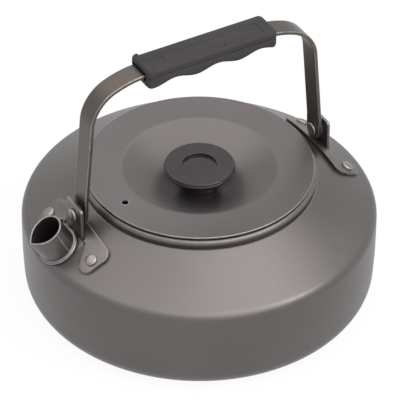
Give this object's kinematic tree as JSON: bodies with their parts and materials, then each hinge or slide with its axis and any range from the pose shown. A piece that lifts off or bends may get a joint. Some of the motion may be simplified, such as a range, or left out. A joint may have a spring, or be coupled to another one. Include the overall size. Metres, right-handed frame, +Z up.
{
  "type": "camping kettle",
  "caption": "Low, wide aluminium camping kettle with a lift-off lid, a short lipped spout and a strap bail with a lobed grip that folds to either side.",
  "frame": {"origin": "centre of the underside of the base", "axes": "+Z up along the kettle's axis, the spout points towards -X, and the bail's pivot axis is parallel to X"},
  "size_m": [0.1871, 0.1796, 0.1473],
  "materials": {
    "anodised_aluminium": "warm grey hard anodised, satin",
    "bracket_steel": "satin pressed steel",
    "rivet_metal": "satin rivet heads",
    "strap_steel": "warm grey satin strap",
    "grip_plastic": "charcoal, finely textured",
    "knob_plastic": "black moulded phenolic, slight sheen",
    "washer_plastic": "dark nylon",
    "brass": "plain turned",
    "screw_steel": "plain stainless"
  },
  "bodies": {
    "kettle": {"kettle_body": "anodised_aluminium", "spout_tube": "anodised_aluminium", "spout_collar": "anodised_aluminium", "front_bracket": "bracket_steel", "rear_bracket": "bracket_steel", "bracket_rivet_1": "rivet_metal", "bracket_rivet_2": "rivet_metal", "bracket_rivet_3": "rivet_metal", "bracket_rivet_4": "rivet_metal", "pivot_rivet_front": "rivet_metal", "pivot_rivet_rear": "rivet_metal", "pivot_washer_front": "washer_plastic", "pivot_washer_rear": "washer_plastic"},
    "bail": {"bail_strap": "strap_steel", "grip_upper": "grip_plastic", "grip_lower": "grip_plastic", "grip_pin_1": "screw_steel", "grip_pin_2": "screw_steel"},
    "lid_set": {"lid": "anodised_aluminium", "lid_ring": "anodised_aluminium", "lid_knob": "knob_plastic", "knob_insert": "brass", "knob_screw": "screw_steel", "knob_washer": "screw_steel"}
  },
  "joints": [
    {"name": "bail_swing", "type": "hinge", "parent": "kettle", "child": "bail", "pos_m": [0, 0, 0.069], "axis": [1, 0, 0], "range_deg": [-88, 88]},
    {"name": "lid_lift", "type": "slide", "parent": "kettle", "child": "lid_set", "axis": [0, 0, 1], "range_m": [0, 0.05]}
  ]
}
